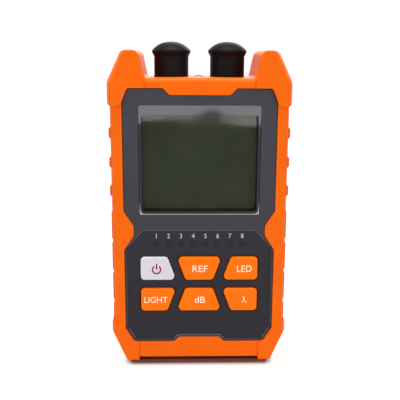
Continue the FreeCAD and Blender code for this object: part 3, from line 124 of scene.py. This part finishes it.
class Surface(Tree):
    """A Principled material with helpers for the patterns that the pieces share."""

    def __init__(self, name, colour, roughness, **inputs):
        self.material = bpy.data.materials.new(name)
        self.material.use_nodes = True
        super().__init__(self.material.node_tree)
        self.shader = self.nodes["Principled BSDF"]
        self.shader.inputs["Base Color"].default_value = (*colour, 1)
        self.shader.inputs["Roughness"].default_value = roughness
        for key, value in inputs.items():
            self.shader.inputs[key.replace("_", " ")].default_value = value
        self.place = self.nodes.new("ShaderNodeTexCoord").outputs["Object"]

    # -- where on the object

    def away(self, middle, half_sizes):
        """Distance from an upright box; an axis whose half size is None doesn't count."""
        squares = []
        places = self.node("SeparateXYZ", Vector=self.place).outputs
        for axis, centre, half in zip("XYZ", middle, half_sizes):
            if half is not None:
                offset = self.maths("ABSOLUTE", self.maths("SUBTRACT", places[axis], centre))
                beyond = self.maths("MAXIMUM", self.maths("SUBTRACT", offset, half), 0.0)
                squares.append(self.maths("POWER", beyond, 2.0))
        total = squares[0]
        for square in squares[1:]:
            total = self.maths("ADD", total, square)
        return self.maths("SQRT", total)

    def band(self, axis, middle, half, soft):
        """1 in a band across the axis, fading to 0 over a soft distance outside it."""
        along = self.node("SeparateXYZ", Vector=self.place).outputs[axis]
        away = self.maths("ABSOLUTE", self.maths("SUBTRACT", along, middle))
        return self.maths("SUBTRACT", 1.0, self.rise(away, half, half + soft))

    def outside(self, across, up, half_width, half_height, corner):
        """0 inside an upright rectangle with round corners on the front face, 1 outside it."""
        soft = 0.05 * MM
        distance = self.away((across, 0, up), (half_width - corner, None, half_height - corner))
        return self.rise(distance, corner, corner + soft)

    def edges(self, reach):
        """1 on the edges of the shape, falling to 0 at this distance from them."""
        flat, turned_away = 0.99, 0.85
        bevel = self.node("Bevel", Radius=reach)
        bevel.samples = 6
        turned = self.nodes.new("ShaderNodeVectorMath")
        turned.operation = "DOT_PRODUCT"
        self.links.new(bevel.outputs["Normal"], turned.inputs[0])
        self.links.new(self.node("NewGeometry").outputs["Normal"], turned.inputs[1])
        return self.rise(turned.outputs["Value"], flat, turned_away)

    # -- patterns

    def noise(self, size, detail=2.0):
        """Noise whose features are about this long, in metres."""
        made = self.node("TexNoise", Vector=self.place, Scale=1 / size, Detail=detail, Roughness=0.5)
        return made.outputs["Fac"]

    def ramp(self, value, stops):
        """Maps a value to colours; stops are (position, colour)."""
        made = self.nodes.new("ShaderNodeValToRGB")
        elements = made.color_ramp.elements
        for element, (position, colour) in zip(elements, stops):
            element.position = position
            element.color = (*colour, 1)
        self.links.new(value, made.inputs["Fac"])
        return made.outputs["Color"]

    def blend(self, share, first, second):
        """Mixes two colours, each a socket or a plain colour."""
        made = self.nodes.new("ShaderNodeMix")
        made.data_type = "RGBA"
        self.links.new(share, made.inputs["Factor"])
        for key, colour in (("A", first), ("B", second)):
            plain = not isinstance(colour, bpy.types.NodeSocket)
            self.give(made.inputs[key], (*colour, 1) if plain else colour)
        return made.outputs["Result"]

    def mix_shader(self, share, first, second):
        made = self.node("MixShader", Fac=share)
        self.links.new(first, made.inputs[1])
        self.links.new(second, made.inputs[2])
        return made.outputs["Shader"]

    # -- what the shader takes

    def colour_from(self, socket):
        self.links.new(socket, self.shader.inputs["Base Color"])

    def colour_so_far(self):
        return self.shader.inputs["Base Color"].links[0].from_socket

    def normal_from(self, node):
        self.links.new(node.outputs["Normal"], self.shader.inputs["Normal"])

    def show(self, shader):
        """Shows this shader, and not the Principled one by itself."""
        self.links.new(shader, self.nodes["Material Output"].inputs["Surface"])

    def mottle(self, size, low, high):
        """Slight unevenness of the colour."""
        self.colour_from(self.ramp(self.noise(size, 3), [(0.3, low), (0.7, high)]))

    def vary_roughness(self, size, low, high):
        made = self.node("MapRange", Value=self.noise(size, 4), From_Min=0.3, From_Max=0.7,
                         To_Min=low, To_Max=high)
        self.links.new(made.outputs["Result"], self.shader.inputs["Roughness"])

    def grain(self, size, height, strength=1.0, soften=0.0):
        """Fine moulded grain; soften rounds the look of small sharp edges by this radius."""
        bump = self.node("Bump", Height=self.noise(size, 2), Distance=height, Strength=strength)
        if soften:
            bevel = self.node("Bevel", Radius=soften)
            bevel.samples = 6
            self.links.new(bevel.outputs["Normal"], bump.inputs["Normal"])
        self.normal_from(bump)


# ---------------------------------------------------------------------------------------------
# Materials
# ---------------------------------------------------------------------------------------------
POLISH = 0.22  # specular level of the window's printed border and of the display
THREAD_PITCH = 0.75 * MM
LAMP_SUNK = 0.05 * MM  # how far the indicators lie behind the face of the keypad area


def moulded(name, colour, roughness, gloss=0.5, spread=0.04, grain=0.35, soften=0.0):
    """Injection-moulded plastic or rubber: fine grain, faint mottling and uneven gloss."""
    patch, grain_height = 14 * MM, 0.012 * MM
    made = Surface(name, colour, roughness, Specular_IOR_Level=gloss)
    made.mottle(patch, shade(colour, 1 - spread), shade(colour, 1 + spread))
    made.vary_roughness(5 * MM, roughness - 0.04, roughness + 0.05)
    made.grain(grain * MM, grain_height, 0.5, soften)
    return made


def orange_shell():
    """Matt orange plastic: a fine dark line where the case halves meet, and painted shade round the
    display.
    """
    seam_width, painted_shade_margin = 0.25 * MM, 1.5 * MM
    made = moulded("orange_shell", srgb(247, 103, 0), 0.46, 0.12, soften=0.25 * MM)
    seam = made.band("Y", 0, seam_width / 2, seam_width / 4)
    seamed = made.blend(seam, made.colour_so_far(), (0.25, 0.04, 0.0))
    # Painted shade: round the display the orange is coloured almost black, standing in for the shadow in
    # the gap between the display and its opening.
    low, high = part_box("lcd_glass")
    halves = [(b - a) / 2 + painted_shade_margin for a, b in zip(low, high)]
    beyond_painted_shade = made.rise(made.away(middle_of(low, high), halves), 0.0, MM)
    made.colour_from(made.blend(beyond_painted_shade, srgb(24, 23, 26), seamed))
    return made


def dark_panel():
    """Grey panel whose sunk keypad area is darker, with a painted highlight along the edge round it."""
    above_lamps, panel_rim, soft, painted_highlight_width = 4.4 * MM, 1.4 * MM, 0.2 * MM, 0.4 * MM
    made = moulded("dark_panel", srgb(54, 53, 60), 0.42, 0.25, soften=0.2 * MM)
    lamp_low, lamp_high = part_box("indicator_lamp_1")
    panel_low, panel_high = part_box("face_panel")
    sunk = made.band("Y", lamp_low[1] - LAMP_SUNK, 0.1 * MM, 0.1 * MM)
    toned = made.blend(sunk, made.colour_so_far(), srgb(32, 31, 39))
    top, foot = lamp_high[2] + above_lamps, panel_low[2] + panel_rim
    zone = made.band("Z", (top + foot) / 2, (top - foot) / 2, soft)
    across = made.band("X", 0, panel_high[0] - panel_rim, soft)
    # Painted highlight: the edges round the keypad are coloured pale grey, standing in for the top light
    # caught on the step's edge.
    edge = made.maths("MULTIPLY", made.edges(painted_highlight_width), made.maths("MULTIPLY", zone, across))
    painted_highlight = made.maths("MULTIPLY", edge, made.maths("SUBTRACT", 1.0, sunk))
    made.colour_from(made.blend(painted_highlight, toned, srgb(132, 132, 138)))
    return made


def polish(made):
    """Gloss that waves a little, as thin sheet does, so what it mirrors has soft wavering edges."""
    length, height = 22 * MM, 0.35 * MM
    made.normal_from(made.node("Bump", Height=made.noise(length, 0), Distance=height, Strength=1.0))


def clear_window():
    """A thin clear window with a dark glossy printed border, and its cut edge painted pale at its foot as a
    painted highlight of the light from above.
    """
    top, side, foot, corner = 3.5 * MM, 1.0 * MM, 1.2 * MM, 1.2 * MM
    cut_edge, cut_corner, painted_highlight_height, painted_highlight_fade = 0.3 * MM, 1.6 * MM, 1.6 * MM, 3 * MM
    ink = srgb(44, 44, 49)
    made = Surface("clear_window", ink, 0.04, Specular_IOR_Level=POLISH)
    low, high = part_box("lcd_window")
    across, _, up = middle_of(low, high)
    half_width, half_height = (high[0] - low[0]) / 2, (high[2] - low[2]) / 2
    border = made.outside(
        across, up + (foot - top) / 2, half_width - side, half_height - (foot + top) / 2, corner)
    rim = made.outside(across, up, half_width - cut_edge, half_height - cut_edge, cut_corner)
    # Painted highlight: the cut edge is coloured pale only near the foot of the window, where it stands in
    # for light caught from above.
    edge = made.maths("MULTIPLY", rim, made.band("Z", low[2], painted_highlight_height, painted_highlight_fade))
    made.colour_from(made.blend(edge, ink, srgb(176, 176, 180)))
    polish(made)
    clear = made.node("BsdfTransparent", Color=(0.95, 0.96, 0.94, 1))
    made.show(made.mix_shader(border, clear.outputs["BSDF"], made.shader.outputs["BSDF"]))
    return made


def screen_glass():
    """The dark olive polariser of a display that shows nothing, as glossy as the window over it."""
    patch = 12 * MM
    made = Surface("lcd", srgb(42, 48, 34), 0.04, Specular_IOR_Level=POLISH)
    made.mottle(patch, srgb(37, 43, 31), srgb(49, 55, 39))
    polish(made)
    return made


def metal(name, colour, roughness):
    """Turned or stamped metal with fine tool marks."""
    made = Surface(name, colour, roughness, Metallic=1.0)
    made.vary_roughness(2 * MM, roughness - 0.05, roughness + 0.08)
    made.grain(0.12 * MM, 0.006 * MM, 0.4)
    return made


def port_metal():
    """Nickelled metal with the rings of a fine thread."""
    made = metal("nickel", (0.68, 0.66, 0.62), 0.28)
    rings = made.node("TexWave", Vector=made.place, Scale=math.pi / (10 * THREAD_PITCH))
    rings.bands_direction = "Z"
    made.normal_from(made.node("Bump", Height=rings.outputs["Fac"], Distance=0.15 * MM, Strength=0.8))
    return made


def cell_jacket(name, upright):
    """A sleeve in two plain bands; the paler band is at the raised contact's end."""
    made = Surface(name, srgb(40, 44, 52), 0.25)
    low, high = (corner[2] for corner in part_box("battery_cell_1"))
    height = made.node("SeparateXYZ", Vector=made.place).outputs["Z"]
    share = made.rise(height, low, high) if upright else made.rise(height, high, low)
    bands = made.ramp(share, [(0.0, srgb(38, 42, 50)), (0.7, srgb(176, 120, 62))])
    bands.node.color_ramp.interpolation = "CONSTANT"
    made.colour_from(bands)
    made.grain(0.5 * MM, 0.01 * MM, 0.4)
    return made


def make_materials():
    """The finish of each material slot in the record."""
    key = {"grain": 0.25, "soften": 0.2 * MM}
    surfaces = {
        "orange_shell": orange_shell(),
        "dark_panel": dark_panel(),
        "clear_window": clear_window(),
        "lcd": screen_glass(),
        "backlight": moulded("backlight", srgb(222, 224, 220), 0.5),
        "key_orange": moulded("key_orange", srgb(255, 117, 0), 0.4, 0.12, **key),
        "key_white": moulded("key_white", srgb(216, 213, 222), 0.4, 0.2, **key),
        "rubber_black": moulded("rubber_black", srgb(10, 6, 8), 0.5, 0.1, spread=0.15),
        # The keypad mat is near-black rubber. Where it shows in the gaps round the keys, its darkness
        # stands in for shade, as a painted shade ring.
        "mat_rubber": moulded("mat_rubber", srgb(34, 32, 34), 0.6),
        "board_green": moulded("board_green", srgb(24, 92, 52), 0.3),
        "smoked_window": moulded("smoked_window", srgb(26, 25, 32), 0.4, 0.25),
        "nickel": port_metal(),
        "brass_module": metal("brass_module", (0.62, 0.45, 0.20), 0.3),
        "ceramic": moulded("ceramic", srgb(236, 234, 228), 0.2),
        "lamp_clear": moulded("lamp_clear", srgb(226, 232, 236), 0.12),
        "socket_black": moulded("socket_black", srgb(26, 26, 28), 0.4),
        "gold_contact": metal("gold_contact", (0.85, 0.62, 0.25), 0.22),
        "cell_jacket": cell_jacket("cell_jacket", True),
        "spring_steel": metal("spring_steel", (0.66, 0.66, 0.66), 0.3),
        "screw_steel": metal("screw_steel", (0.20, 0.20, 0.21), 0.35),
    }
    surfaces["lamp_clear"].shader.inputs["Transmission Weight"].default_value = 0.7
    return {slot: surface.material for slot, surface in surfaces.items()}


def dress_frame(materials):
    """Gives every CAD node the material that its slot in the record names."""
    turned_cell = cell_jacket("cell_jacket_turned", False).material
    for entry in frame["record"]["subparts"]:
        name = entry["node"]
        for slot in frame["nodes"][name].material_slots:
            slot.material = turned_cell if name == "battery_cell_2" else materials[entry["material_slot"]]


# ---------------------------------------------------------------------------------------------
# Printed marks
# ---------------------------------------------------------------------------------------------
INK = 0.04 * MM  # thickness of the print


def printed(name, mesh, body, material):
    piece = bpy.data.objects.new(name, mesh)
    bpy.context.scene.collection.objects.link(piece)
    mesh.materials.clear()
    mesh.materials.append(material)
    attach(piece, body)


def mark(name, text, middle, width, height, face, body, material):
    """Lettering on a surface that faces -Y, this high and wide; without a width, slightly narrow."""
    narrow = 0.9
    curve = bpy.data.curves.new(name + "_outline", "FONT")
    curve.body = text
    curve.extrude = 0.5
    maker = bpy.data.objects.new(name + "_outline", curve)
    mesh = bpy.data.meshes.new_from_object(maker)
    bpy.data.objects.remove(maker)
    xs, ys = [v.co.x for v in mesh.vertices], [v.co.y for v in mesh.vertices]
    across, up = (max(xs) + min(xs)) / 2, (max(ys) + min(ys)) / 2
    scale_y = height / (max(ys) - min(ys))
    scale_x = width / (max(xs) - min(xs)) if width else narrow * scale_y
    for vertex in mesh.vertices:
        x, y, z = vertex.co
        depth = face - INK * (z + 0.5)
        vertex.co = (middle[0] + (x - across) * scale_x, depth, middle[1] + (y - up) * scale_y)
    mesh.flip_normals()
    printed(name, mesh, body, material)


def make_legends(ink):
    """Function names on the keys: key, text, how far right of the key's middle, width, height in mm."""
    legends = [
        ("key_reference", "REF", 0.3, 5.75, 2.5),
        ("key_torch", "LED", 1.4, 5.55, 2.45),
        ("key_light", "LIGHT", -0.75, 8.8, 2.35),
        ("key_unit", "dB", 0.3, 3.95, 2.5),
        ("key_wavelength", "λ", 1.6, 1.75, 2.5),
    ]
    for key, text, offset, width, height in legends:
        low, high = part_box(key)
        across, _, up = middle_of(low, high)
        mark(key + "_legend", text, (across + offset * MM, up), width * MM, height * MM, low[1], key, ink)


def make_numbers(ink):
    """The digits 1 to 8 over the indicators."""
    above_lamp, height = 3.25 * MM, 1.75 * MM
    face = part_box("indicator_lamp_1")[0][1] - LAMP_SUNK
    for index in range(1, 9):
        across, _, up = middle_of(*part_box("indicator_lamp_%d" % index))
        mark("number_%d" % index, str(index), (across, up + above_lamp), None, height, face, "case", ink)


def make_power_sign(ink):
    """The usual power sign: an open ring with a bar in its gap."""
    left, down, bar_foot, bar_top = 0.4 * MM, 0.3 * MM, 0.1 * MM, 2.3 * MM
    radius, half_stroke, half_gap, steps = 1.52 * MM, 0.27 * MM, math.radians(36), 40
    low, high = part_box("key_power")
    across, up, face = (low[0] + high[0]) / 2 - left, (low[2] + high[2]) / 2 - down, low[1]
    shape = bmesh.new()

    def strip(points):
        """A raised strip through (x, z, half width vector x, half width vector z)."""
        rings = []
        for x, z, wx, wz in points:
            rings.append([
                shape.verts.new((across + x + side * wx, face - depth, up + z + side * wz))
                for side, depth in ((-1, 0), (-1, INK), (1, INK), (1, 0))])
        for first, second in zip(rings, rings[1:]):
            for k in range(4):
                shape.faces.new((first[k], first[(k + 1) % 4], second[(k + 1) % 4], second[k]))
        shape.faces.new(rings[0][::-1])
        shape.faces.new(rings[-1])

    ring = []
    for step in range(steps + 1):
        angle = math.pi / 2 + half_gap + (2 * math.pi - 2 * half_gap) * step / steps
        c, s = math.cos(angle), math.sin(angle)
        ring.append((radius * c, radius * s, half_stroke * c, half_stroke * s))
    strip(ring)
    strip([(0, bar_foot, half_stroke, 0), (0, bar_top, half_stroke, 0)])
    bmesh.ops.recalc_face_normals(shape, faces=shape.faces)
    mesh = bpy.data.meshes.new("power_sign")
    shape.to_mesh(mesh)
    shape.free()
    printed("power_sign", mesh, "key_power", ink)


# ---------------------------------------------------------------------------------------------
# Stage, lamps and camera
# ---------------------------------------------------------------------------------------------
def stage_sheet(name, corners, surface):
    mesh = bpy.data.meshes.new(name)
    mesh.from_pydata(corners, [], [tuple(range(len(corners)))])
    mesh.materials.append(surface.material)
    sheet = bpy.data.objects.new(name, mesh)
    bpy.context.scene.collection.objects.link(sheet)
    return sheet


def floor_surface():
    """A pale floor that looks white, with the object's shadow kept near the object and deepened there by a
    painted shadow.
    """
    lifted_from, lifted_at, lift_top = 1.6 * MM, 4.6 * MM, 0.94
    haze_from, haze_at, haze_top = 6 * MM, 45 * MM, 0.1
    pale, painted_shadow = (0.62, 0.62, 0.62), (0.11, 0.045, 0.032)
    made = Surface("floor", (1, 1, 1), 1.0)
    seen = made.seen()
    away = made.away((0, 0, 0), (cad_box[1][0] - 9 * MM, cad_box[1][1], None))
    clear = made.rise(away, lifted_from, lifted_at, lift_top)
    haze = made.rise(away, haze_from, haze_at, haze_top)
    # Painted shadow: the camera sees the floor dark reddish brown, hidden by the glow except within a few
    # millimetres of the object, so the contact shadow there is partly painted.
    matt = made.node("BsdfDiffuse", Color=made.blend(seen, pale, painted_shadow))
    glow = made.node("Emission", Strength=made.maths("MULTIPLY", seen, made.maths("ADD", clear, haze)))
    add = made.nodes.new("ShaderNodeAddShader")
    made.links.new(matt.outputs["BSDF"], add.inputs[0])
    made.links.new(glow.outputs["Emission"], add.inputs[1])
    made.show(add.outputs["Shader"])
    made.nodes.remove(made.shader)
    return made


def make_floor():
    reach = 3.0
    corners = [(-reach, -reach, 0), (reach, -reach, 0), (reach, reach, 0), (-reach, reach, 0)]
    stage_sheet("floor", corners, floor_surface())


def make_reflector():
    """A bright board in front of the meter, seen only as the band mirrored at the top of its window."""
    half, front, top, brightness = 0.6, -0.94, 0.060, 9.5
    made = Surface("reflector", (1, 1, 1), 1.0)
    glow = made.node("Emission", Strength=brightness)
    nothing = made.node("BsdfTransparent", Color=(1, 1, 1, 1))
    gloss = made.node("LightPath").outputs["Is Glossy Ray"]
    made.show(made.mix_shader(gloss, nothing.outputs["BSDF"], glow.outputs["Emission"]))
    made.nodes.remove(made.shader)
    corners = [(-half, front, 0), (half, front, 0), (half, front, top), (-half, front, top)]
    board = stage_sheet("reflector", corners, made)
    board.visible_diffuse = False
    board.visible_shadow = False


def make_world():
    """An even light from all round, which the camera, gloss and glass see as white."""
    light, white = 0.42, 1.0
    world = bpy.data.worlds.new("studio")
    bpy.context.scene.world = world
    world.use_nodes = True
    tree = Tree(world.node_tree)
    level = tree.node("MapRange", Value=tree.seen(), To_Min=light, To_Max=white)
    background = tree.nodes["Background"].inputs
    tree.links.new(level.outputs["Result"], background["Strength"])
    background["Color"].default_value = (1, 1, 1, 1)


def soft_lamp(name, place, target, width, height, power):
    data = bpy.data.lights.new(name, "AREA")
    data.shape = "RECTANGLE"
    data.size, data.size_y = width, height
    data.energy = power
    lamp = bpy.data.objects.new(name, data)
    lamp.location = place
    lamp.rotation_euler = (Vector(target) - Vector(place)).to_track_quat("-Z", "Y").to_euler()
    bpy.context.scene.collection.objects.link(lamp)


def make_lamps(target):
    """Name, place, width and height in metres, and power in watts of each soft lamp."""
    lamps = [
        ("top", (0.0, -0.10, 0.95), 0.4, 0.3, 7.0),
        ("front_right", (0.75, -0.85, 0.55), 0.6, 0.6, 4.0),
        ("front_left", (-0.75, -0.80, 0.50), 0.6, 0.6, 3.1),
        ("behind", (0.20, 1.00, 0.55), 0.7, 0.6, 4.6),
    ]
    for name, place, width, height, power in lamps:
        soft_lamp(name, place, target, width, height, power)


def make_camera():
    """The camera a little above and to the left of the meter, looking down on it."""
    pitch, yaw, roll = math.radians(12.5), math.radians(1.5), math.radians(0.29)
    distance, focal_pixels, sensor = 240 * MM, 654.8, 36
    aim = Vector((0.15 * MM, cad_box[0][1], 63.57 * MM))
    direction = Vector((math.sin(yaw) * math.cos(pitch), math.cos(yaw) * math.cos(pitch), -math.sin(pitch)))
    data = bpy.data.cameras.new("camera")
    data.sensor_width = sensor
    data.lens = sensor * focal_pixels / PICTURE_WIDTH
    data.clip_start = 0.01
    data.clip_end = 20
    data.dof.use_dof = False
    camera = bpy.data.objects.new("camera", data)
    turn = direction.to_track_quat("-Z", "Y").to_matrix().to_4x4() @ Matrix.Rotation(roll, 4, "Z")
    camera.matrix_world = Matrix.Translation(aim - direction * distance) @ turn
    bpy.context.scene.collection.objects.link(camera)
    bpy.context.scene.camera = camera


dress_frame(make_materials())
make_legends(moulded("white_ink", srgb(255, 240, 218), 0.5).material)
make_numbers(moulded("grey_ink", srgb(206, 207, 212), 0.5).material)
make_power_sign(moulded("red_ink", srgb(160, 4, 34), 0.5, 0.2).material)
make_world()
make_floor()
make_reflector()
make_lamps(middle_of(*cad_box))
make_camera()
bpy.context.scene.view_settings.view_transform = "Standard"
